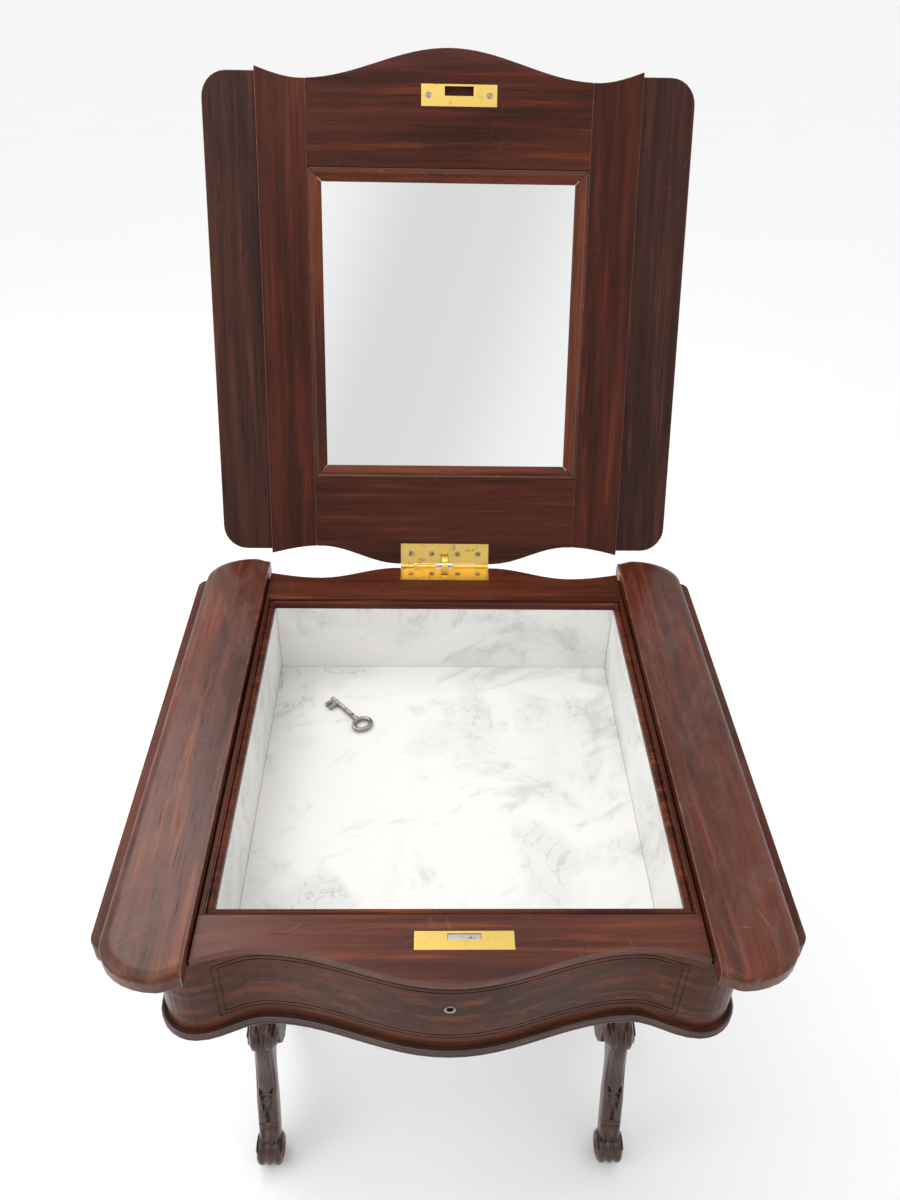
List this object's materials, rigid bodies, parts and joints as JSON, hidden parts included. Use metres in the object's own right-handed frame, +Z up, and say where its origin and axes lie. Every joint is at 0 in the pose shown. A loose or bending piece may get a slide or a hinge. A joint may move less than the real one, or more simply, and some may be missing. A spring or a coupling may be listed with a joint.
{
  "type": "vanity table with mirror",
  "caption": "Lift-top dressing table: framed mirror inside the hinged lid, marble-lined well, serpentine front, side slides and carved scroll legs.",
  "frame": {"origin": "on the floor, under the middle of the whole table's box with its lid open", "axes": "+Z up, +Y from the front towards the hinged back edge, +X to the right seen from the front"},
  "size_m": [0.598, 0.8096, 1.2035],
  "materials": {
    "mahogany_case": "French-polished mahogany, dark",
    "mahogany_top": "worn polished mahogany, reddish",
    "mahogany_moulding": "lighter mahogany mouldings",
    "mahogany_lid": "dark mahogany, polished",
    "mahogany_legs": "carved and waxed dark mahogany",
    "marble": "honed white marble with soft grey veins",
    "mirror": "silvered plate glass",
    "brass": "lightly tarnished brass",
    "steel": "dark old steel"
  },
  "bodies": {
    "table": {"front_apron": "mahogany_case", "rear_apron": "mahogany_case", "side_panel_left": "mahogany_case", "side_panel_right": "mahogany_case", "case_base": "mahogany_case", "top_rail_front": "mahogany_top", "top_rail_rear": "mahogany_top", "top_rail_left": "mahogany_top", "top_rail_right": "mahogany_top", "side_top_left": "mahogany_top", "side_top_right": "mahogany_top", "well_bead_front": "mahogany_moulding", "well_bead_rear": "mahogany_moulding", "well_bead_left": "mahogany_moulding", "well_bead_right": "mahogany_moulding", "bearer_left": "mahogany_legs", "bearer_right": "mahogany_legs", "end_standard_left": "mahogany_legs", "end_standard_right": "mahogany_legs", "scroll_leg_front_left": "mahogany_legs", "scroll_leg_rear_left": "mahogany_legs", "scroll_leg_front_right": "mahogany_legs", "scroll_leg_rear_right": "mahogany_legs", "stretcher": "mahogany_legs", "marble_floor": "marble", "marble_wall_front": "marble", "marble_wall_rear": "marble", "marble_wall_left": "marble", "marble_wall_right": "marble", "lock_plate": "brass", "hinge_leaf_case": "brass", "keyhole_ring": "steel", "key": "steel", "hinge_pin": "steel", "case_hinge_screw_1": "steel", "case_hinge_screw_2": "steel", "case_hinge_screw_3": "steel", "case_hinge_screw_4": "steel"},
    "lid": {"lid_top": "mahogany_lid", "lid_rail_front": "mahogany_lid", "lid_rail_rear": "mahogany_lid", "lid_stile_left": "mahogany_lid", "lid_stile_right": "mahogany_lid", "mirror_glass": "mirror", "mirror_moulding_front": "mahogany_moulding", "mirror_moulding_rear": "mahogany_moulding", "mirror_moulding_left": "mahogany_moulding", "mirror_moulding_right": "mahogany_moulding", "striker_plate": "brass", "striker_screw_1": "steel", "striker_screw_2": "steel", "hinge_leaf_lid": "brass", "lid_hinge_screw_1": "steel", "lid_hinge_screw_2": "steel", "lid_hinge_screw_3": "steel", "lid_hinge_screw_4": "steel"},
    "slide_left": {"slide_left": "mahogany_top"},
    "slide_right": {"slide_right": "mahogany_top"},
    "lock_bolt": {"lock_bolt": "steel"}
  },
  "joints": [
    {"name": "lid_hinge", "type": "hinge", "parent": "table", "child": "lid", "pos_m": [0, 0.17319, 0.67015], "axis": [1, 0, 0], "range_deg": [0, 111.3]},
    {"name": "side_slide_left", "type": "slide", "parent": "table", "child": "slide_left", "axis": [-1, 0, 0], "range_m": [0, 0.04]},
    {"name": "side_slide_right", "type": "slide", "parent": "table", "child": "slide_right", "axis": [1, 0, 0], "range_m": [0, 0.04]},
    {"name": "lock_bolt_throw", "type": "slide", "parent": "table", "child": "lock_bolt", "axis": [0, 0, 1], "range_m": [0, 0.006]}
  ]
}
